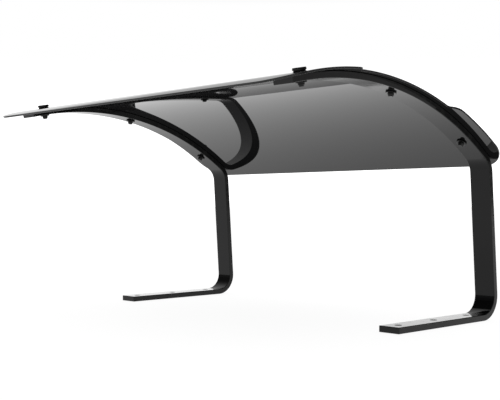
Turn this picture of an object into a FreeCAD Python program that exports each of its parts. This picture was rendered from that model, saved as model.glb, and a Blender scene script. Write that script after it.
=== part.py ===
"""Arched shelter roof: a smoked sheet bent over two C-shaped flat bars and bolted down.

Millimetres, +Z up, ground at Z = 0. The open front faces -Y and X runs along the width.
Both bars are alike, and the whole object is mirrored across the plane X = 0.
"""
import FreeCAD
import Part
import math
import os

# Flat bars
BAR_WIDTH = 30.0
BAR_THICKNESS = 8.0
BAR_SPACING = 520.0          # centre to centre along X
BAR_EDGE_RADIUS = 0.8        # rounding of the rolled bar's long edges
BEND_RADIUS = 24.0           # inner radius of the heel and of the bend under the roof
LEG_LEAN = 3.8               # degrees the leg leans forward from the vertical
FOOT_FRONT_Y = 1.5
LEG_REAR_Y = 216.3           # rear face of the leg, carried down to the ground

# Arch, shared by the bars and the sheet
ARCH_CENTRE_Y = -68.8
ARCH_CENTRE_Z = -148.0
ARCH_INNER_RADIUS = 441.0    # underside of the bars
ARCH_MIDDLE_ANGLE = 9.9      # degrees behind the vertical, the middle of the sheet
ARCH_TIP_ANGLE = -14.0       # degrees, front ends of the bars

# Sheet, sizes as cut flat
SHEET_THICKNESS = 2.5
SHEET_WIDTH = 590.0
SHEET_LENGTH = 450.0
CORNER_RADIUS = 40.0
WAIST_DEPTH = 12.0           # how far the middle of each side is cut back
WAIST_LENGTH = 184.0         # between the middles of the two steps
STEP_OUTER_RADIUS = 14.0     # rounding of a step where it meets the wide part
STEP_INNER_RADIUS = 5.0      # and where it meets the waist

# Bolts, three to a bar
BOLT_PITCH = 160.0           # along the sheet
SHANK_DIAMETER = 8.0
SHEET_HOLE_DIAMETER = 9.0
BAR_HOLE_DIAMETER = 8.1
HEAD_DIAMETER = 16.0
HEAD_HEIGHT = 3.0
HEAD_ROUNDING = 1.1
SOCKET_ACROSS_FLATS = 5.0
SOCKET_DEPTH = 1.8
SHANK_END_LENGTH = 6.0       # beyond the bar's underside
SHANK_TIP_LENGTH = 2.6       # the tapered part of that
SHANK_TIP_DIAMETER = 5.4

# Washer over the sheet and lock ring under the bar
WASHER_DIAMETER = 14.0
WASHER_THICKNESS = 1.2
RING_DIAMETER = 13.2
RING_THICKNESS = 1.8
RING_BORE = 8.1

# Ground fixing holes in the feet
FOOT_HOLE_DIAMETER = 9.0
FOOT_HOLE_PITCH = 71.5
FOOT_HOLE_INSET = 18.0       # first hole from the front end of the foot

ARCH_OUTER_RADIUS = ARCH_INNER_RADIUS + BAR_THICKNESS
SHEET_OUTER_RADIUS = ARCH_OUTER_RADIUS + SHEET_THICKNESS
SHEET_MIDDLE_RADIUS = ARCH_OUTER_RADIUS + SHEET_THICKNESS / 2
BOLT_STEP_ANGLE = math.degrees(BOLT_PITCH / SHEET_MIDDLE_RADIUS)
BOLT_ANGLES = {
    "front": ARCH_MIDDLE_ANGLE - BOLT_STEP_ANGLE,
    "middle": ARCH_MIDDLE_ANGLE,
    "rear": ARCH_MIDDLE_ANGLE + BOLT_STEP_ANGLE,
}
SIDES = {"left": -1, "right": 1}
CUT_MARGIN = 5.0             # how far cutting tools run past what they cut
CUTTER_DEPTH = 30.0          # enough to pass through the sheet where it curves away from a tool

V = FreeCAD.Vector
AXIS_X = V(1, 0, 0)
AXIS_Z = V(0, 0, 1)
ARCH_CENTRE = V(0, ARCH_CENTRE_Y, ARCH_CENTRE_Z)


def on_arch(radius, angle, x=0.0):
    """Point at that radius and angle (degrees behind the vertical) on the arch."""
    turn = math.radians(angle)
    return V(x, ARCH_CENTRE_Y + radius * math.sin(turn), ARCH_CENTRE_Z + radius * math.cos(turn))


def arch_arc(radius, start_angle, end_angle):
    middle_angle = (start_angle + end_angle) / 2
    points = [on_arch(radius, angle) for angle in (start_angle, middle_angle, end_angle)]
    return Part.Arc(*points).toShape()


def around(centre, radius, direction):
    """Point on a bend's circle, direction in degrees from +Y towards +Z."""
    turn = math.radians(direction)
    return centre + V(0, radius * math.cos(turn), radius * math.sin(turn))


def bend_arc(centre, radius, start, end):
    points = [around(centre, radius, turn) for turn in (start, (start + end) / 2, end)]
    return Part.Arc(*points).toShape()


def leg_face_y(z, depth):
    """Y of the plane that lies depth inside the leg's rear face."""
    lean = math.radians(LEG_LEAN)
    return LEG_REAR_Y - z * math.tan(lean) - depth / math.cos(lean)


def heel_centre():
    z = BAR_THICKNESS + BEND_RADIUS
    return V(0, leg_face_y(z, z), z)


def top_bend_centre():
    """Centre at one bend radius from the leg's inner face and from the arch's underside."""
    reach = ARCH_INNER_RADIUS - BEND_RADIUS
    lean = math.tan(math.radians(LEG_LEAN))
    offset = leg_face_y(0, BAR_THICKNESS + BEND_RADIUS) - ARCH_CENTRE_Y
    # (offset - lean z)^2 + (z - centre z)^2 = reach^2, solved for the upper z
    a = 1 + lean ** 2
    b = -2 * (offset * lean + ARCH_CENTRE_Z)
    c = offset ** 2 + ARCH_CENTRE_Z ** 2 - reach ** 2
    z = (-b + math.sqrt(b * b - 4 * a * c)) / (2 * a)
    return V(0, leg_face_y(z, BAR_THICKNESS + BEND_RADIUS), z)


def bar_profile():
    """Side view of a bar: foot, heel, leg, bend and arch, as one closed wire."""
    heel = heel_centre()
    bend = top_bend_centre()
    outer = BEND_RADIUS + BAR_THICKNESS
    arch_end = math.degrees(math.atan2(bend.y - ARCH_CENTRE_Y, bend.z - ARCH_CENTRE_Z))
    foot_turn, leg_turn, arch_turn = -90.0, LEG_LEAN, 90.0 - arch_end
    foot_top = V(0, FOOT_FRONT_Y, BAR_THICKNESS)
    foot_bottom = V(0, FOOT_FRONT_Y, 0)
    edges = [
        Part.LineSegment(foot_bottom, around(heel, outer, foot_turn)).toShape(),
        bend_arc(heel, outer, foot_turn, leg_turn),
        Part.LineSegment(around(heel, outer, leg_turn), around(bend, outer, leg_turn)).toShape(),
        bend_arc(bend, outer, leg_turn, arch_turn),
        arch_arc(ARCH_OUTER_RADIUS, arch_end, ARCH_TIP_ANGLE),
        Part.LineSegment(
            on_arch(ARCH_OUTER_RADIUS, ARCH_TIP_ANGLE), on_arch(ARCH_INNER_RADIUS, ARCH_TIP_ANGLE)
        ).toShape(),
        arch_arc(ARCH_INNER_RADIUS, ARCH_TIP_ANGLE, arch_end),
        bend_arc(bend, BEND_RADIUS, arch_turn, leg_turn),
        Part.LineSegment(
            around(bend, BEND_RADIUS, leg_turn), around(heel, BEND_RADIUS, leg_turn)
        ).toShape(),
        bend_arc(heel, BEND_RADIUS, leg_turn, foot_turn),
        Part.LineSegment(around(heel, BEND_RADIUS, foot_turn), foot_top).toShape(),
        Part.LineSegment(foot_top, foot_bottom).toShape(),
    ]
    return Part.Wire(edges)


def radial_axis(angle):
    """Outward direction of the arch at that angle."""
    return (on_arch(1.0, angle) - ARCH_CENTRE).normalize()


def radial_hole(diameter, angle, x):
    """Drill that passes through bar and sheet at one bolt position."""
    start = on_arch(ARCH_INNER_RADIUS - CUT_MARGIN, angle, x)
    depth = BAR_THICKNESS + SHEET_THICKNESS + 2 * CUT_MARGIN
    return Part.makeCylinder(diameter / 2, depth, start, radial_axis(angle))


def make_bar(side):
    x = side * BAR_SPACING / 2
    profile = Part.Face(bar_profile())
    profile.translate(V(x - BAR_WIDTH / 2, 0, 0))
    bar = profile.extrude(V(BAR_WIDTH, 0, 0))
    side_edges = [edge for edge in bar.Edges if edge.BoundBox.XLength < BAR_WIDTH / 2]
    bar = bar.makeFillet(BAR_EDGE_RADIUS, side_edges)
    for angle in BOLT_ANGLES.values():
        bar = bar.cut(radial_hole(BAR_HOLE_DIAMETER, angle, x))
    for number in range(3):
        y = FOOT_FRONT_Y + FOOT_HOLE_INSET + number * FOOT_HOLE_PITCH
        drill = Part.makeCylinder(
            FOOT_HOLE_DIAMETER / 2, BAR_THICKNESS + 2 * CUT_MARGIN, V(x, y, -CUT_MARGIN), AXIS_Z
        )
        bar = bar.cut(drill)
    return bar


def stand_on_arch(shape, radius, angle, x=0.0):
    """Move a part built upright on the origin so that it stands on the arch."""
    shape.rotate(V(0, 0, 0), AXIS_X, -angle)
    shape.translate(on_arch(radius, angle, x))
    return shape


def step_outline():
    """Flat outline of what is cut off one side of the sheet between its middle and one step.

    An outline is a list of lines (two points) and arcs (three), as x and distance from the middle.
    """
    half_width = SHEET_WIDTH / 2
    waist_x = half_width - WAIST_DEPTH
    outside_x = half_width + CUT_MARGIN
    turn = math.acos(1 - WAIST_DEPTH / (STEP_OUTER_RADIUS + STEP_INNER_RADIUS))
    run = (STEP_OUTER_RADIUS + STEP_INNER_RADIUS) * math.sin(turn)
    waist_end = (WAIST_LENGTH - run) / 2
    step_end = waist_end + run

    def inner(angle):
        return (waist_x + STEP_INNER_RADIUS * (1 - math.cos(angle)),
                waist_end + STEP_INNER_RADIUS * math.sin(angle))

    def outer(angle):
        return (half_width - STEP_OUTER_RADIUS * (1 - math.cos(angle)),
                step_end - STEP_OUTER_RADIUS * math.sin(angle))

    return [
        [(waist_x, -CUT_MARGIN), inner(0)],
        [inner(0), inner(turn / 2), inner(turn)],
        [outer(turn), outer(turn / 2), outer(0)],
        [outer(0), (outside_x, step_end)],
        [(outside_x, step_end), (outside_x, -CUT_MARGIN)],
        [(outside_x, -CUT_MARGIN), (waist_x, -CUT_MARGIN)],
    ]


def corner_outline():
    """Flat outline of what is cut off one corner of the sheet."""
    half_width = SHEET_WIDTH / 2
    half_length = SHEET_LENGTH / 2
    centre_x = half_width - CORNER_RADIUS
    centre_along = half_length - CORNER_RADIUS
    diagonal = CORNER_RADIUS * math.sqrt(0.5)
    side_point = (half_width, centre_along)
    end_point = (centre_x, half_length)
    outside_side = (half_width + CUT_MARGIN, centre_along)
    outside_corner = (half_width + CUT_MARGIN, half_length + CUT_MARGIN)
    outside_end = (centre_x, half_length + CUT_MARGIN)
    return [
        [side_point, (centre_x + diagonal, centre_along + diagonal), end_point],
        [end_point, outside_end],
        [outside_end, outside_corner],
        [outside_corner, outside_side],
        [outside_side, side_point],
    ]


def square_cutter(outline, origin, side, way):
    """Tool that stands square to the sheet at the origin, a distance from the sheet's middle."""
    edges = []
    for points in outline:
        placed = [V(side * x, way * (along - origin), 0) for x, along in points]
        curve = Part.LineSegment if len(placed) == 2 else Part.Arc
        edges.append(curve(*placed).toShape())
    tool = Part.Face(Part.Wire(edges)).extrude(V(0, 0, CUTTER_DEPTH))
    tool.translate(V(0, 0, CUT_MARGIN - CUTTER_DEPTH))
    angle = ARCH_MIDDLE_ANGLE + way * math.degrees(origin / SHEET_MIDDLE_RADIUS)
    return stand_on_arch(tool, SHEET_OUTER_RADIUS, angle)


def sheet_blank():
    """The sheet before its corners, waist and holes are cut."""
    half_angle = math.degrees(SHEET_LENGTH / 2 / SHEET_MIDDLE_RADIUS)
    front = ARCH_MIDDLE_ANGLE - half_angle
    rear = ARCH_MIDDLE_ANGLE + half_angle
    section = Part.Face(Part.Wire([
        arch_arc(ARCH_OUTER_RADIUS, front, rear),
        Part.LineSegment(on_arch(ARCH_OUTER_RADIUS, rear), on_arch(SHEET_OUTER_RADIUS, rear)).toShape(),
        arch_arc(SHEET_OUTER_RADIUS, rear, front),
        Part.LineSegment(on_arch(SHEET_OUTER_RADIUS, front), on_arch(ARCH_OUTER_RADIUS, front)).toShape(),
    ]))
    section.translate(V(-SHEET_WIDTH / 2, 0, 0))
    return section.extrude(V(SHEET_WIDTH, 0, 0))


def make_sheet():
    sheet = sheet_blank()
    step_origin = WAIST_LENGTH / 2
    corner_origin = SHEET_LENGTH / 2 - CORNER_RADIUS / 2
    for side in SIDES.values():
        for way in (-1, 1):
            sheet = sheet.cut(square_cutter(step_outline(), step_origin, side, way))
            sheet = sheet.cut(square_cutter(corner_outline(), corner_origin, side, way))
        for angle in BOLT_ANGLES.values():
            sheet = sheet.cut(radial_hole(SHEET_HOLE_DIAMETER, angle, side * BAR_SPACING / 2))
    return sheet.Solids[0]


def flat_ring(diameter, bore, thickness):
    ring = Part.makeCylinder(diameter / 2, thickness)
    return ring.cut(Part.makeCylinder(bore / 2, thickness))


def hexagon(across_flats, height):
    corner_radius = across_flats / math.sqrt(3)
    corners = [
        V(corner_radius * math.cos(math.radians(turn)), corner_radius * math.sin(math.radians(turn)), 0)
        for turn in range(0, 361, 60)
    ]
    return Part.Face(Part.makePolygon(corners)).extrude(V(0, 0, height))


def bolt_shape():
    """Pan-head bolt with its seat under the head at the origin and its shank down."""
    head = Part.makeCylinder(HEAD_DIAMETER / 2, HEAD_HEIGHT)
    rim = max(head.Edges, key=lambda edge: edge.CenterOfMass.z)
    socket = hexagon(SOCKET_ACROSS_FLATS, SOCKET_DEPTH)
    socket.translate(V(0, 0, HEAD_HEIGHT - SOCKET_DEPTH))
    head = head.makeFillet(HEAD_ROUNDING, [rim]).cut(socket)
    length = WASHER_THICKNESS + SHEET_THICKNESS + BAR_THICKNESS + SHANK_END_LENGTH
    shank = Part.makeCylinder(
        SHANK_DIAMETER / 2, length - SHANK_TIP_LENGTH, V(0, 0, SHANK_TIP_LENGTH - length)
    )
    tip = Part.makeCone(SHANK_TIP_DIAMETER / 2, SHANK_DIAMETER / 2, SHANK_TIP_LENGTH, V(0, 0, -length))
    return head.fuse(shank).fuse(tip).removeSplitter()


def fasteners(side_name, side, place, angle):
    """The bolt, washer and lock ring at one bolt position, by node name."""
    x = side * BAR_SPACING / 2
    washer = flat_ring(WASHER_DIAMETER, SHEET_HOLE_DIAMETER, WASHER_THICKNESS)
    ring = flat_ring(RING_DIAMETER, RING_BORE, RING_THICKNESS)
    seat_radius = SHEET_OUTER_RADIUS + WASHER_THICKNESS
    ring_top = math.sqrt(ARCH_INNER_RADIUS ** 2 - (RING_DIAMETER / 2) ** 2)
    where = f"{side_name}_{place}"
    return {
        f"bolt_{where}": stand_on_arch(bolt_shape(), seat_radius, angle, x),
        f"washer_{where}": stand_on_arch(washer, SHEET_OUTER_RADIUS, angle, x),
        f"lock_ring_{where}": stand_on_arch(ring, ring_top - RING_THICKNESS, angle, x),
    }


def build():
    nodes = {"roof_sheet": make_sheet()}
    for side_name, side in SIDES.items():
        nodes[f"bar_{side_name}"] = make_bar(side)
        for place, angle in BOLT_ANGLES.items():
            nodes.update(fasteners(side_name, side, place, angle))
    return nodes


os.makedirs("parts", exist_ok=True)
for name, shape in build().items():
    shape.exportStep(f"parts/{name}.step")
    box = shape.optimalBoundingBox(False)
    print(f"{name}: valid {shape.isValid()}, solids {len(shape.Solids)}, {shape.Volume:.0f} mm3, "
          f"Y {box.YMin:.2f} to {box.YMax:.2f}, Z {box.ZMin:.2f} to {box.ZMax:.2f}")
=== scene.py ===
"""Looks of the arched shelter roof: smoked glossy sheet, black painted bars and black fasteners.

Metres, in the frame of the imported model: +Z up, ground at Z = 0, open front towards -Y.
"""
import math

import bmesh
import bpy
from mathutils import Matrix, Vector


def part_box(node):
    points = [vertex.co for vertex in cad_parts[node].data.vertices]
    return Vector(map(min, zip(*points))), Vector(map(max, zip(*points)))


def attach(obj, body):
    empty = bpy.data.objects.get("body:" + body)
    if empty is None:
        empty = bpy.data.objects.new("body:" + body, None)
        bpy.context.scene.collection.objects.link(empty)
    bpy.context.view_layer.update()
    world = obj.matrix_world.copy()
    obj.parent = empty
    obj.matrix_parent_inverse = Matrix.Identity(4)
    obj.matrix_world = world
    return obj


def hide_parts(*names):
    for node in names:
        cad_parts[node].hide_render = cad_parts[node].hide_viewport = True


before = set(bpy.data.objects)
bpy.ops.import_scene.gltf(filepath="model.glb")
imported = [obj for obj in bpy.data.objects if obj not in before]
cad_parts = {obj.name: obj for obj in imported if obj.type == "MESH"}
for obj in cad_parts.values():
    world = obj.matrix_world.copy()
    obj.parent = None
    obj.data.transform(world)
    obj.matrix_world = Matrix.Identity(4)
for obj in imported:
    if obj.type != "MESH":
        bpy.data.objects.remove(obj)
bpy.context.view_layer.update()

MM = 0.001

# Flat bars
BAR_WIDTH = 30 * MM
BAR_THICKNESS = 8 * MM
BAR_EDGE_RADIUS = 0.8 * MM
HOLE_EDGE_RADIUS = 0.12 * MM
EDGE_RING_SHARE = 0.999              # of the corner radius; at 1 the innermost ring's corners are points
BEND_RADIUS = 24 * MM                # inner radius of both bends
LEG_LEAN = math.radians(3.8)
FOOT_FRONT_Y = 1.5 * MM
LEG_REAR_Y = 216.3 * MM              # rear face of the leg, carried down to the ground

# Arch that bars and sheet share; its angles are measured back from the vertical
ARCH_CENTRE = Vector((0, -68.8 * MM, -148 * MM))
ARCH_INNER_RADIUS = 441 * MM
ARCH_MIDDLE_ANGLE = math.radians(9.9)
ARCH_TIP_ANGLE = math.radians(-14.0)

# Sheet, sizes as cut flat
SHEET_THICKNESS = 2.5 * MM
SHEET_WIDTH = 590 * MM
SHEET_LENGTH = 450 * MM
SHEET_EDGE_RADIUS = 0.35 * MM
CORNER_RADIUS = 40 * MM
WAIST_DEPTH = 12 * MM
WAIST_LENGTH = 184 * MM
STEP_OUTER_RADIUS = 14 * MM
STEP_INNER_RADIUS = 5 * MM

# Fasteners
BOLT_PITCH = 160 * MM
SHANK_RADIUS = 4 * MM
THREAD_PITCH = 1.25 * MM
THREAD_DEPTH = 0.25 * MM
THREAD_START_SHARE = 0.6             # of the bar's thickness; the shank is plain above it
CREST_FLATTENING = 1.35              # over 1, it leaves flats on the thread's crests
SHEET_HOLE_RADIUS = 4.5 * MM
BAR_HOLE_RADIUS = 4.05 * MM
HEAD_RADIUS = 8 * MM
HEAD_HEIGHT = 3 * MM
HEAD_ROUNDING = 1.1 * MM
HEAD_LIP = 0.15 * MM                 # bevel at the socket's mouth and under the head
SOCKET_ACROSS_FLATS = 5 * MM
SOCKET_DEPTH = 1.8 * MM
SHANK_END_LENGTH = 6 * MM
SHANK_TIP_LENGTH = 2.6 * MM
SHANK_TIP_RADIUS = 2.7 * MM
TIP_FLAT_SHARE = 0.85                # radius of the flat that ends the shank, of the tip's radius
WASHER_RADIUS = 7 * MM
WASHER_THICKNESS = 1.2 * MM
WASHER_ROUNDING = 0.4 * MM
RING_RADIUS = 6.6 * MM
RING_THICKNESS = 1.8 * MM
RING_ROUNDING = 0.3 * MM
FOOT_HOLE_RADIUS = 4.5 * MM
FOOT_HOLE_PITCH = 71.5 * MM
FOOT_HOLE_INSET = 18 * MM
FOOT_HOLE_COUNT = 3

ARCH_OUTER_RADIUS = ARCH_INNER_RADIUS + BAR_THICKNESS
ARCH_BAR_RADIUS = ARCH_INNER_RADIUS + BAR_THICKNESS / 2
SHEET_OUTER_RADIUS = ARCH_OUTER_RADIUS + SHEET_THICKNESS
SHEET_MIDDLE_RADIUS = ARCH_OUTER_RADIUS + SHEET_THICKNESS / 2
BOLT_STEP_ANGLE = BOLT_PITCH / SHEET_MIDDLE_RADIUS
BOLT_ANGLES = {
    "front": ARCH_MIDDLE_ANGLE - BOLT_STEP_ANGLE,
    "middle": ARCH_MIDDLE_ANGLE,
    "rear": ARCH_MIDDLE_ANGLE + BOLT_STEP_ANGLE,
}
SIDES = ("left", "right")

# Fineness of the meshes
ROW_BULGE = 0.006 * MM               # how far a bend's rows may stand off its true curve
ARC_STEP = math.radians(6)
SHEET_CORNER_STEP = math.radians(3)
BAR_CORNER_STEP = math.radians(30)
HOLE_STEP = math.radians(7.5)
EDGE_SEGMENTS = 4                    # round each edge of a plate or a ring
HEAD_SEGMENTS = 6                    # round the rim of a bolt head
THREAD_ROWS_PER_TURN = 10
CUT_TOLERANCE = 1e-7
NEARLY_ZERO = 1e-9


def bar_x(side):
    low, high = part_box(f"bar_{side}")
    return (low.x + high.x) / 2


# ---------------------------------------------------------------- camera, floor and light

CAMERA_PLACE = Vector((0.9554, -0.8835, 0.1539))
CAMERA_AZIMUTH = math.radians(46.54)   # 0 looks along +Y, 90 along -X
CAMERA_PITCH = math.radians(0.223)     # upwards
CAMERA_ROLL = math.radians(-0.136)
CAMERA_LENS = 67.66                    # mm on a 36 mm sensor

FLOOR_HALF_SIZE = 30.0
FLOOR_DROP = 0.0003                    # keeps the feet's undersides clear of it
FLOOR_GREY = 0.25
FLOOR_GLOW = 0.92                      # what keeps the floor white under a dim studio

# The world's light, white below the horizon. A place is azimuth (0 along +Y, 90 along +X) and
# elevation in degrees. A reach is the cosines of the angles from that place at which the light
# begins and is full. Heights are sines of elevations. The levels are chosen for the reflections.
HORIZON_HEIGHTS = (-0.01, 0.0)
STUDIO_LEVEL = 0.2
BACKDROP_PLACE = (-47, 0)
BACKDROP_REACH = (0.3, 0.75)
BACKDROP_LEVEL = 1.0
GLOW_REACH = (0.9, 0.98)               # an extra light low on the backdrop
GLOW_HEIGHTS = (0.11, 0.15)
GLOW_LEVEL = 0.5
SIDE_LIGHT_PLACE = (41, 7)
SIDE_LIGHT_REACH = (0.9877, 0.9976)
SIDE_LIGHT_LEVEL = 0.35
UPPER_HEIGHTS = (0.205, 0.24)          # where all of these drop to their upper share
UPPER_SHARE = 0.62
OVERHEAD_HEIGHTS = (0.5, 0.95)
OVERHEAD_LEVEL = 0.6


def add_object(name, data):
    made = bpy.data.objects.new(name, data)
    bpy.context.scene.collection.objects.link(made)
    return made


def add_camera():
    camera = add_object("camera", bpy.data.cameras.new("camera"))
    camera.data.sensor_width = 36
    camera.data.lens = CAMERA_LENS
    turn = Matrix.Rotation(CAMERA_AZIMUTH, 4, "Z") @ Matrix.Rotation(math.pi / 2 + CAMERA_PITCH, 4, "X")
    camera.matrix_world = Matrix.Translation(CAMERA_PLACE) @ turn @ Matrix.Rotation(CAMERA_ROLL, 4, "Z")
    bpy.context.scene.camera = camera


def new_nodes(data):
    data.use_nodes = True
    data.node_tree.nodes.clear()
    return data.node_tree


def node(tree, kind, inputs=None, **settings):
    """A new shader node, with its settings made and its inputs set or linked."""
    made = tree.nodes.new("ShaderNode" + kind)
    for name, value in settings.items():
        setattr(made, name, value)
    for name, value in (inputs or {}).items():
        if isinstance(value, bpy.types.NodeSocket):
            tree.links.new(value, made.inputs[name])
        else:
            made.inputs[name].default_value = value
    return made


def math_node(tree, operation, first, second):
    made = node(tree, "Math", {0: first, 1: second}, operation=operation)
    return made.outputs["Value"]


def fade(tree, value, start, end, low, high):
    """Goes smoothly from low to high while value goes from start to end."""
    inputs = {"Value": value, "From Min": start, "From Max": end, "To Min": low, "To Max": high}
    return node(tree, "MapRange", inputs, interpolation_type="SMOOTHSTEP").outputs["Result"]


def add_floor():
    size = FLOOR_HALF_SIZE
    mesh = bpy.data.meshes.new("floor")
    corners = [(-size, -size, 0), (size, -size, 0), (size, size, 0), (-size, size, 0)]
    mesh.from_pydata(corners, [], [(0, 1, 2, 3)])
    floor = add_object("floor", mesh)
    floor.location.z = -FLOOR_DROP
    material = bpy.data.materials.new("pale_floor")
    tree = new_nodes(material)
    surface = node(tree, "BsdfPrincipled", {
        "Base Color": (FLOOR_GREY, FLOOR_GREY, FLOOR_GREY, 1),
        "Roughness": 1.0,
        "Specular IOR Level": 0.0,
        "Emission Color": (1, 1, 1, 1),
        "Emission Strength": FLOOR_GLOW,
    })
    node(tree, "OutputMaterial", {"Surface": surface.outputs["BSDF"]})
    mesh.materials.append(material)


def toward(azimuth, elevation):
    """Unit vector; azimuth in degrees, 0 along +Y and 90 along +X."""
    azimuth = math.radians(azimuth)
    elevation = math.radians(elevation)
    level = math.cos(elevation)
    return Vector((level * math.sin(azimuth), level * math.cos(azimuth), math.sin(elevation)))


def nearness(tree, direction, target):
    made = node(tree, "VectorMath", {0: direction, 1: target}, operation="DOT_PRODUCT")
    return made.outputs["Value"]


def add_world():
    """White below the horizon; above it a dim studio with a backdrop, a side light and a top light."""
    world = bpy.data.worlds.new("studio")
    bpy.context.scene.world = world
    tree = new_nodes(world)
    direction = node(tree, "TexCoord").outputs["Generated"]
    height = node(tree, "SeparateXYZ", {"Vector": direction}).outputs["Z"]
    to_backdrop = nearness(tree, direction, toward(*BACKDROP_PLACE))
    to_side_light = nearness(tree, direction, toward(*SIDE_LIGHT_PLACE))
    backdrop = fade(tree, to_backdrop, *BACKDROP_REACH, STUDIO_LEVEL, BACKDROP_LEVEL)
    glow = math_node(tree, "MULTIPLY", fade(tree, to_backdrop, *GLOW_REACH, 0.0, GLOW_LEVEL),
                     fade(tree, height, *GLOW_HEIGHTS, 1.0, 0.0))
    side_light = fade(tree, to_side_light, *SIDE_LIGHT_REACH, 0.0, SIDE_LIGHT_LEVEL)
    level = math_node(tree, "ADD", math_node(tree, "ADD", backdrop, glow), side_light)
    level = math_node(tree, "MULTIPLY", level, fade(tree, height, *UPPER_HEIGHTS, 1.0, UPPER_SHARE))
    level = math_node(tree, "ADD", level, fade(tree, height, *OVERHEAD_HEIGHTS, 0.0, OVERHEAD_LEVEL))
    above = fade(tree, height, *HORIZON_HEIGHTS, 0.0, 1.0)
    excess = math_node(tree, "MULTIPLY", math_node(tree, "SUBTRACT", level, 1.0), above)
    light = node(tree, "Background", {
        "Color": (1, 1, 1, 1),
        "Strength": math_node(tree, "ADD", excess, 1.0),
    })
    node(tree, "OutputWorld", {"Surface": light.outputs["Background"]})


# ---------------------------------------------------------------- bent plates

class BentPath:
    """A line in the YZ plane made of straight and bent runs.

    Each run is (length, turn); a positive turn bends towards the line's left-hand side.
    """

    def __init__(self, start, heading, runs):
        self.start = start
        self.heading = heading
        self.runs = runs
        self.length = sum(length for length, turn in runs)

    def at(self, distance):
        """Point, direction of travel and left-hand normal, that far along the line."""
        y, z = self.start
        heading = self.heading
        for length, turn in self.runs:
            step = min(distance, length)
            bend = turn * step / length
            chord = step if abs(bend) < NEARLY_ZERO else 2 * length / turn * math.sin(bend / 2)
            y += chord * math.cos(heading + bend / 2)
            z += chord * math.sin(heading + bend / 2)
            heading += bend
            distance -= step
            if distance <= 0:
                break
        along = Vector((0, math.cos(heading), math.sin(heading)))
        return Vector((0, y, z)), along, Vector((0, -along.z, along.y))

    def rows(self):
        """Distances at which a plate is cut into rows so that it bends smoothly."""
        distances = []
        begin = 0.0
        for length, turn in self.runs:
            step = 2 * math.sqrt(2 * ROW_BULGE * abs(turn) / length) if turn else math.inf
            count = max(1, math.ceil(abs(turn) / step))
            distances += [begin + length * i / count for i in range(count + 1)]
            begin += length
        return sorted(set(distances))


def arc_points(centre, radius, start, end, step=ARC_STEP):
    """Points along an arc with their outward normals; a clockwise arc is a hollow one."""
    count = max(2, math.ceil(abs(end - start) / step))
    outward = 1 if end > start else -1
    points = []
    for i in range(count + 1):
        turn = start + (end - start) * i / count
        normal = (outward * math.cos(turn), outward * math.sin(turn))
        place = (centre[0] + radius * math.cos(turn), centre[1] + radius * math.sin(turn))
        points.append((place, normal))
    return points


def hole_points(centre, radius):
    return arc_points(centre, radius, 2 * math.pi, 0, HOLE_STEP)[:-1]


def mirrored(points):
    """The same outline on the other side of x = 0, in the same turning sense."""
    return [((-x, s), (-nx, ns)) for (x, s), (nx, ns) in reversed(points)]


def edge_levels(thickness, radius):
    """(inset, depth, tilt) of the rings that round a plate's edge, from one face to the other."""
    quarter = [math.pi / 2 * i / EDGE_SEGMENTS for i in range(EDGE_SEGMENTS, -1, -1)]
    upper = [(radius * (1 - math.cos(a)), thickness / 2 - radius * (1 - math.sin(a)), a) for a in quarter]
    lower = [(inset, -depth, -tilt) for inset, depth, tilt in reversed(upper)]
    return upper + lower


def remember_place(mesh, places):
    """Keeps each point's place on the unbent, unplaced piece for the materials."""
    kept = mesh.attributes.new("flat", "FLOAT_VECTOR", "POINT")
    for item, place in zip(kept.data, places):
        item.vector = place


def add_flat_plate(bm, flat_normal, loops, thickness):
    """A flat plate lying on its middle plane, closed, with its edges rounded ring by ring."""
    faces_up = []
    faces_down = []
    for loop, edge_radius in loops:
        rings = []
        for inset, depth, tilt in edge_levels(thickness, edge_radius):
            ring = []
            for (x, s), (nx, ns) in loop:
                vert = bm.verts.new((x - inset * nx, s - inset * ns, depth))
                vert[flat_normal] = (nx * math.cos(tilt), ns * math.cos(tilt), math.sin(tilt))
                ring.append(vert)
            rings.append(ring)
        for above, below in zip(rings, rings[1:]):
            for i in range(len(above)):
                j = (i + 1) % len(above)
                wall = bm.faces.new((above[i], below[i], below[j], above[j]))
                wall.material_index = 1
        for ring, found in ((rings[0], faces_up), (rings[-1], faces_down)):
            for i in range(len(ring)):
                found.append(bm.edges.get((ring[i], ring[(i + 1) % len(ring)])))
    for edges, direction in ((faces_up, 1), (faces_down, -1)):
        bmesh.ops.triangle_fill(bm, use_beauty=True, edges=edges, normal=(0, 0, direction))
    bmesh.ops.recalc_face_normals(bm, faces=bm.faces[:])


def cut_into_rows(bm, distances):
    for distance in distances:
        everything = bm.verts[:] + bm.edges[:] + bm.faces[:]
        bmesh.ops.bisect_plane(bm, geom=everything, dist=CUT_TOLERANCE,
                               plane_co=(0, distance, 0), plane_no=(0, 1, 0))


def bend_along(bm, flat_normal, path, centre_x):
    """Bends the flat plate; returns its points' normals and the places that they had flat."""
    normals = []
    flat = []
    for vert in bm.verts:
        point, along, across = path.at(vert.co.y)
        tilt = vert[flat_normal].normalized()
        normals.append((Vector((tilt.x, 0, 0)) + along * tilt.y + across * tilt.z).normalized())
        flat.append(vert.co.copy())
        vert.co = point + across * vert.co.z + Vector((centre_x + vert.co.x, 0, 0))
    return normals, flat


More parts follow.
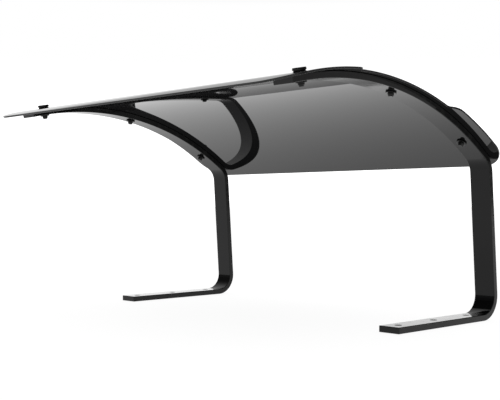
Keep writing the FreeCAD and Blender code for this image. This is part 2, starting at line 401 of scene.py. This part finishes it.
def plate(name, loops, thickness, path, centre_x=0.0):
    """A plate cut out flat, with rounded edges, and then bent along a path.

    Flat points are (x, distance along the path). A loop is the outline or a hole, with the radius
    of its edges.
    """
    bm = bmesh.new()
    flat_normal = bm.verts.layers.float_vector.new("flat_normal")
    add_flat_plate(bm, flat_normal, loops, thickness)
    cut_into_rows(bm, path.rows())
    normals, flat = bend_along(bm, flat_normal, path, centre_x)
    bm.verts.layers.float_vector.remove(flat_normal)
    mesh = bpy.data.meshes.new(name)
    bm.to_mesh(mesh)
    bm.free()
    mesh.shade_smooth()
    mesh.normals_split_custom_set_from_vertices(normals)
    remember_place(mesh, flat)
    return add_object(name, mesh)


def sheet_outline():
    """Outline of the flat sheet, counter-clockwise, from the middle of its front edge."""
    half_width = SHEET_WIDTH / 2
    middle = SHEET_LENGTH / 2
    corner_x = half_width - CORNER_RADIUS
    outer_x = half_width - STEP_OUTER_RADIUS
    inner_x = half_width - WAIST_DEPTH + STEP_INNER_RADIUS
    step_radii = STEP_OUTER_RADIUS + STEP_INNER_RADIUS
    turn = math.acos(1 - WAIST_DEPTH / step_radii)
    run = step_radii * math.sin(turn)
    near = (WAIST_LENGTH - run) / 2
    far = (WAIST_LENGTH + run) / 2
    near_corner = (corner_x, CORNER_RADIUS)
    far_corner = (corner_x, SHEET_LENGTH - CORNER_RADIUS)
    right = arc_points(near_corner, CORNER_RADIUS, -math.pi / 2, 0, SHEET_CORNER_STEP)
    right += arc_points((outer_x, middle - far), STEP_OUTER_RADIUS, 0, turn)
    right += arc_points((inner_x, middle - near), STEP_INNER_RADIUS, math.pi + turn, math.pi)[1:]
    right += arc_points((inner_x, middle + near), STEP_INNER_RADIUS, math.pi, math.pi - turn)
    right += arc_points((outer_x, middle + far), STEP_OUTER_RADIUS, -turn, 0)[1:]
    right += arc_points(far_corner, CORNER_RADIUS, 0, math.pi / 2, SHEET_CORNER_STEP)
    return right + mirrored(right)


def make_sheet():
    front = ARCH_MIDDLE_ANGLE - SHEET_LENGTH / 2 / SHEET_MIDDLE_RADIUS
    start = on_arch(SHEET_MIDDLE_RADIUS, front)
    path = BentPath((start.y, start.z), -front, [(SHEET_LENGTH, -SHEET_LENGTH / SHEET_MIDDLE_RADIUS)])
    loops = [(sheet_outline(), SHEET_EDGE_RADIUS)]
    for side in SIDES:
        for angle in BOLT_ANGLES.values():
            distance = (angle - front) * SHEET_MIDDLE_RADIUS
            loops.append((hole_points((bar_x(side), distance), SHEET_HOLE_RADIUS), HOLE_EDGE_RADIUS))
    sheet = plate("smoked_roof_sheet", loops, SHEET_THICKNESS, path)
    finish_piece(sheet, "roof_sheet", "smoked_sheet", sheet_material(), sheet_edge_material())


def leg_face_y(z, depth):
    """Y of the plane that lies depth inside the leg's rear face."""
    return LEG_REAR_Y - z * math.tan(LEG_LEAN) - depth / math.cos(LEG_LEAN)


def bar_path():
    """Middle line of a bar, from the front end of its foot to the tip of its arch."""
    reach = BEND_RADIUS + BAR_THICKNESS
    heel = Vector((0, leg_face_y(reach, reach), reach))
    lean = math.tan(LEG_LEAN)
    offset = leg_face_y(0, reach) - ARCH_CENTRE.y
    a = 1 + lean ** 2
    b = -2 * (offset * lean + ARCH_CENTRE.z)
    c = offset ** 2 + ARCH_CENTRE.z ** 2 - (ARCH_INNER_RADIUS - BEND_RADIUS) ** 2
    bend_z = (-b + math.sqrt(b * b - 4 * a * c)) / (2 * a)
    bend = Vector((0, leg_face_y(bend_z, reach), bend_z))
    arch_end = math.atan2(bend.y - ARCH_CENTRE.y, bend.z - ARCH_CENTRE.z)
    middle = BEND_RADIUS + BAR_THICKNESS / 2
    heel_turn = math.pi / 2 + LEG_LEAN
    bend_turn = math.pi - arch_end - heel_turn
    arch_turn = arch_end - ARCH_TIP_ANGLE
    runs = [
        (heel.y - FOOT_FRONT_Y, 0),
        (middle * heel_turn, heel_turn),
        ((bend - heel).length, 0),
        (middle * bend_turn, bend_turn),
        (ARCH_BAR_RADIUS * arch_turn, arch_turn),
    ]
    return BentPath((FOOT_FRONT_Y, BAR_THICKNESS / 2), 0.0, runs)


def make_bar(side):
    path = bar_path()
    half = BAR_WIDTH / 2 - BAR_EDGE_RADIUS
    low, high = BAR_EDGE_RADIUS, path.length - BAR_EDGE_RADIUS
    corners = [(half, low, -90), (half, high, 0), (-half, high, 90), (-half, low, 180)]
    outline = []
    for x, s, turn in corners:
        start = math.radians(turn)
        outline += arc_points((x, s), BAR_EDGE_RADIUS, start, start + math.pi / 2, BAR_CORNER_STEP)
    loops = [(outline, BAR_EDGE_RADIUS * EDGE_RING_SHARE)]
    for number in range(FOOT_HOLE_COUNT):
        place = (0, FOOT_HOLE_INSET + number * FOOT_HOLE_PITCH)
        loops.append((hole_points(place, FOOT_HOLE_RADIUS), HOLE_EDGE_RADIUS))
    for angle in BOLT_ANGLES.values():
        from_tip = (angle - ARCH_TIP_ANGLE) * ARCH_BAR_RADIUS
        loops.append((hole_points((0, path.length - from_tip), BAR_HOLE_RADIUS), HOLE_EDGE_RADIUS))
    bar = plate(f"flat_bar_{side}", loops, BAR_THICKNESS, path, bar_x(side))
    finish_piece(bar, f"bar_{side}", "bar_paint", bar_material(), bar_material())


# ---------------------------------------------------------------- fasteners

def on_arch(radius, angle, x=0.0):
    return ARCH_CENTRE + Vector((x, radius * math.sin(angle), radius * math.cos(angle)))


def stand_on_arch(piece, radius, angle, x):
    turn = Matrix.Rotation(-angle, 4, "X")
    piece.data.transform(Matrix.Translation(on_arch(radius, angle, x)) @ turn)


def turned(name, rows, columns=72):
    """A solid made of rings around Z; a row gives radius and height for an angle.

    Either the first and last rows have no radius, or the last row is joined to the first.
    """
    bm = bmesh.new()
    rings = []
    for row in rows:
        places = [row(2 * math.pi * i / columns) for i in range(columns)]
        if max(radius for radius, height in places) < NEARLY_ZERO:
            rings.append([bm.verts.new((0, 0, places[0][1]))] * columns)
            continue
        ring = []
        for i, (radius, height) in enumerate(places):
            turn = 2 * math.pi * i / columns
            ring.append(bm.verts.new((radius * math.cos(turn), radius * math.sin(turn), height)))
        rings.append(ring)
    pairs = list(zip(rings, rings[1:]))
    if rings[0][0] is not rings[0][1]:
        pairs.append((rings[-1], rings[0]))
    for above, below in pairs:
        for i in range(columns):
            j = (i + 1) % columns
            corners = [above[i], below[i], below[j], above[j]]
            bm.faces.new(list(dict.fromkeys(corners)))
    bmesh.ops.recalc_face_normals(bm, faces=bm.faces[:])
    mesh = bpy.data.meshes.new(name)
    bm.to_mesh(mesh)
    bm.free()
    mesh.shade_smooth()
    mesh.set_sharp_from_angle(angle=math.radians(32))
    remember_place(mesh, [vert.co.copy() for vert in mesh.vertices])
    return add_object(name, mesh)


def ring_row(radius, height):
    return lambda turn: (radius, height)


def ring(name, outer, bore, thickness, rounding):
    """A flat ring standing on z = 0 with rounded outer edges."""
    rows = [ring_row(bore, 0), ring_row(bore, thickness)]
    for i in range(EDGE_SEGMENTS + 1):
        a = math.pi / 2 * (1 - i / EDGE_SEGMENTS)
        radius = outer - rounding * (1 - math.cos(a))
        rows.append(ring_row(radius, thickness - rounding * (1 - math.sin(a))))
    for i in range(EDGE_SEGMENTS + 1):
        a = math.pi / 2 * i / EDGE_SEGMENTS
        radius = outer - rounding * (1 - math.cos(a))
        rows.append(ring_row(radius, rounding * (1 - math.sin(a))))
    return turned(name, rows)


def hexagon_radius(turn, across_flats):
    """Distance from the middle of a hexagon to its side, with corners at 0, 60, 120 degrees."""
    sixth = math.pi / 3
    return across_flats / 2 / math.cos((turn % sixth) - sixth / 2)


def bolt(name):
    """Pan-head bolt: its seat at z = 0, the socket head above and the threaded shank below."""
    length = WASHER_THICKNESS + SHEET_THICKNESS + BAR_THICKNESS + SHANK_END_LENGTH
    thread_start = -(WASHER_THICKNESS + SHEET_THICKNESS + BAR_THICKNESS * THREAD_START_SHARE)
    socket_floor = HEAD_HEIGHT - SOCKET_DEPTH

    def socket(growth, height):
        return lambda turn: (hexagon_radius(turn, SOCKET_ACROSS_FLATS) + growth, height)

    def thread(height):
        to_tip = height + length
        taper = SHANK_TIP_RADIUS + (SHANK_RADIUS - SHANK_TIP_RADIUS) * min(1, to_tip / SHANK_TIP_LENGTH)

        def row(turn):
            phase = (height / THREAD_PITCH - turn / (2 * math.pi)) % 1.0
            ridge = min(1.0, CREST_FLATTENING * abs(2 * phase - 1))
            return min(SHANK_RADIUS - THREAD_DEPTH * (1 - ridge), taper), height
        return row

    rows = [
        ring_row(0, socket_floor),
        socket(0, socket_floor),
        socket(0, HEAD_HEIGHT - HEAD_LIP),
        socket(HEAD_LIP, HEAD_HEIGHT),
    ]
    for i in range(HEAD_SEGMENTS + 1):
        a = math.pi / 2 * i / HEAD_SEGMENTS
        side = HEAD_ROUNDING * (1 - math.sin(a))
        rows.append(ring_row(HEAD_RADIUS - side, HEAD_HEIGHT - HEAD_ROUNDING * (1 - math.cos(a))))
    rows += [
        ring_row(HEAD_RADIUS, HEAD_LIP),
        ring_row(HEAD_RADIUS - HEAD_LIP, 0),
        ring_row(SHANK_RADIUS, 0),
        ring_row(SHANK_RADIUS, thread_start),
    ]
    count = round((length + thread_start) / THREAD_PITCH * THREAD_ROWS_PER_TURN)
    for i in range(1, count + 1):
        rows.append(thread(thread_start - (length + thread_start) * i / count))
    rows.append(ring_row(SHANK_TIP_RADIUS * TIP_FLAT_SHARE, -length))
    rows.append(ring_row(0, -length))
    return turned(name, rows)


def make_fasteners(side, place, angle):
    x = bar_x(side)
    where = f"{side}_{place}"
    screw = bolt(f"pan_head_bolt_{where}")
    stand_on_arch(screw, SHEET_OUTER_RADIUS + WASHER_THICKNESS, angle, x)
    finish_piece(screw, f"bolt_{where}", "bolt_black", bolt_material())
    washer = ring(f"rubber_washer_{where}", WASHER_RADIUS, SHEET_HOLE_RADIUS,
                  WASHER_THICKNESS, WASHER_ROUNDING)
    stand_on_arch(washer, SHEET_OUTER_RADIUS, angle, x)
    finish_piece(washer, f"washer_{where}", "washer_rubber", washer_material())
    lock = ring(f"thin_lock_ring_{where}", RING_RADIUS, BAR_HOLE_RADIUS,
                RING_THICKNESS, RING_ROUNDING)
    ring_top = math.sqrt(ARCH_INNER_RADIUS ** 2 - RING_RADIUS ** 2)
    stand_on_arch(lock, ring_top - RING_THICKNESS, angle, x)
    finish_piece(lock, f"lock_ring_{where}", "bolt_black", bolt_material())


# ---------------------------------------------------------------- materials

# Indices of refraction, chosen for the strength of the reflections under this scene's light.
# The two lowest are below those of real paint and metal finishes, about 1.5.
SHEET_IOR = 1.47
SHEET_EDGE_IOR = 1.45
BAR_PAINT_IOR = 1.33
BOLT_IOR = 1.33
RUBBER_IOR = 1.4


def material_once(name, build):
    """The material of that name, built the first time that it is asked for."""
    found = bpy.data.materials.get(name)
    if found:
        return found
    material = bpy.data.materials.new(name)
    tree = new_nodes(material)
    surface = node(tree, "BsdfPrincipled")
    node(tree, "OutputMaterial", {"Surface": surface.outputs["BSDF"]})
    build(tree, surface)
    return material


def place_on_piece(tree):
    """Position on the piece as it was before it was bent or put in its place."""
    return node(tree, "Attribute", attribute_name="flat").outputs["Vector"]


def stretched(tree, place, scale):
    return node(tree, "VectorMath", {0: place, 1: scale}, operation="MULTIPLY").outputs["Vector"]


def noise(tree, place, size, detail=2.0):
    """Noise whose lumps are about that size, as a value from 0 to 1."""
    inputs = {"Vector": place, "Scale": 1 / size, "Detail": detail}
    return node(tree, "TexNoise", inputs).outputs["Fac"]


def add_bumps(tree, surface, *layers):
    """Bumps from (height, depth in metres) layers, the coarse one first."""
    normal = None
    for height, depth in layers:
        bump = node(tree, "Bump", {"Height": height, "Distance": depth, "Strength": 1.0})
        if normal:
            tree.links.new(normal, bump.inputs["Normal"])
        normal = bump.outputs["Normal"]
    tree.links.new(normal, surface.inputs["Normal"])


def set_color(tree, surface, amount, low, high):
    """Base colour that goes from low to high with amount."""
    mix = node(tree, "Mix", {"Factor": amount}, data_type="RGBA")
    mix.inputs["A"].default_value = (*low, 1)
    mix.inputs["B"].default_value = (*high, 1)
    tree.links.new(mix.outputs["Result"], surface.inputs["Base Color"])


def sheet_material():
    """Gloss sheet: nearly black, with slight handling haze and hair-fine wiping scratches."""
    def build(tree, surface):
        place = place_on_piece(tree)
        haze = noise(tree, place, 45 * MM, 3.0)
        long_way = noise(tree, stretched(tree, place, (1.0, 0.02, 1.0)), 0.35 * MM)
        wide_way = noise(tree, stretched(tree, place, (0.03, 1.0, 1.0)), 0.5 * MM)
        scratches = math_node(tree, "MAXIMUM", long_way, wide_way)
        fine = fade(tree, scratches, 0.66, 0.76, 0.0, 0.03)
        rough = math_node(tree, "ADD", fade(tree, haze, 0.4, 0.7, 0.012, 0.035), fine)
        tree.links.new(rough, surface.inputs["Roughness"])
        set_color(tree, surface, haze, (0.0012, 0.0012, 0.0014), (0.0024, 0.0024, 0.0027))
        surface.inputs["IOR"].default_value = SHEET_IOR
        add_bumps(tree, surface, (noise(tree, place, 70 * MM, 0.0), 0.02 * MM), (scratches, 0.0002 * MM))
    return material_once("smoked_polycarbonate", build)


def sheet_edge_material():
    """Cut edge of the sheet: fine saw marks across its thickness, polished over."""
    def build(tree, surface):
        place = place_on_piece(tree)
        marks = noise(tree, stretched(tree, place, (1.0, 1.0, 0.1)), 0.6 * MM, 4.0)
        tree.links.new(fade(tree, marks, 0.3, 0.7, 0.12, 0.3), surface.inputs["Roughness"])
        set_color(tree, surface, marks, (0.0015, 0.0015, 0.0018), (0.005, 0.005, 0.0055))
        surface.inputs["IOR"].default_value = SHEET_EDGE_IOR
        add_bumps(tree, surface, (marks, 0.02 * MM))
    return material_once("smoked_polycarbonate_cut_edge", build)


def bar_material():
    """Gloss black paint: slight orange peel, thinner and duller along the bar's edges."""
    def build(tree, surface):
        place = place_on_piece(tree)
        peel = noise(tree, place, 2.4 * MM)
        grain = noise(tree, place, 0.35 * MM, 3.0)
        patches = noise(tree, place, 14 * MM, 4.0)
        across = node(tree, "SeparateXYZ", {"Vector": place}).outputs["X"]
        from_middle = math_node(tree, "ABSOLUTE", across, 0.0)
        border = BAR_WIDTH / 2
        edge = fade(tree, from_middle, border - 1.2 * MM, border - 0.1 * MM, 0.0, 1.0)
        wear = math_node(tree, "MULTIPLY", edge, fade(tree, patches, 0.45, 0.65, 0.15, 1.0))
        rough = math_node(tree, "ADD", fade(tree, patches, 0.3, 0.7, 0.06, 0.13),
                          math_node(tree, "MULTIPLY", wear, 0.12))
        tree.links.new(rough, surface.inputs["Roughness"])
        set_color(tree, surface, wear, (0.0016, 0.0016, 0.0018), (0.009, 0.0088, 0.0085))
        surface.inputs["IOR"].default_value = BAR_PAINT_IOR
        add_bumps(tree, surface, (peel, 0.006 * MM), (grain, 0.0006 * MM))
    return material_once("black_bar_paint", build)


def bolt_material():
    """Blackened steel: dark and oily, in patches a little brighter as if rubbed."""
    def build(tree, surface):
        place = place_on_piece(tree)
        blotches = noise(tree, place, 2.2 * MM, 3.0)
        grain = noise(tree, place, 0.18 * MM, 3.0)
        tree.links.new(fade(tree, blotches, 0.3, 0.7, 0.1, 0.28), surface.inputs["Roughness"])
        rubbed = fade(tree, blotches, 0.5, 0.72, 0.0, 1.0)
        set_color(tree, surface, rubbed, (0.0008, 0.0008, 0.0009), (0.0045, 0.0044, 0.0043))
        surface.inputs["IOR"].default_value = BOLT_IOR
        add_bumps(tree, surface, (blotches, 0.01 * MM), (grain, 0.003 * MM))
    return material_once("black_bolt_finish", build)


def washer_material():
    """Black rubber: matt, with a fine moulded grain."""
    def build(tree, surface):
        place = place_on_piece(tree)
        grain = noise(tree, place, 0.22 * MM, 4.0)
        dust = noise(tree, place, 3 * MM, 3.0)
        tree.links.new(fade(tree, grain, 0.3, 0.7, 0.5, 0.72), surface.inputs["Roughness"])
        set_color(tree, surface, dust, (0.0025, 0.0025, 0.0025), (0.008, 0.0078, 0.0074))
        surface.inputs["IOR"].default_value = RUBBER_IOR
        add_bumps(tree, surface, (grain, 0.02 * MM))
    return material_once("black_rubber", build)


def finish_piece(piece, cad_node, slot, *materials):
    for material in materials:
        piece.data.materials.append(material)
    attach(piece, "root")
    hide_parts(cad_node)


bpy.context.scene.view_settings.view_transform = "Standard"
add_camera()
add_floor()
add_world()
make_sheet()
for bar_side in SIDES:
    make_bar(bar_side)
    for bolt_place, bolt_angle in BOLT_ANGLES.items():
        make_fasteners(bar_side, bolt_place, bolt_angle)
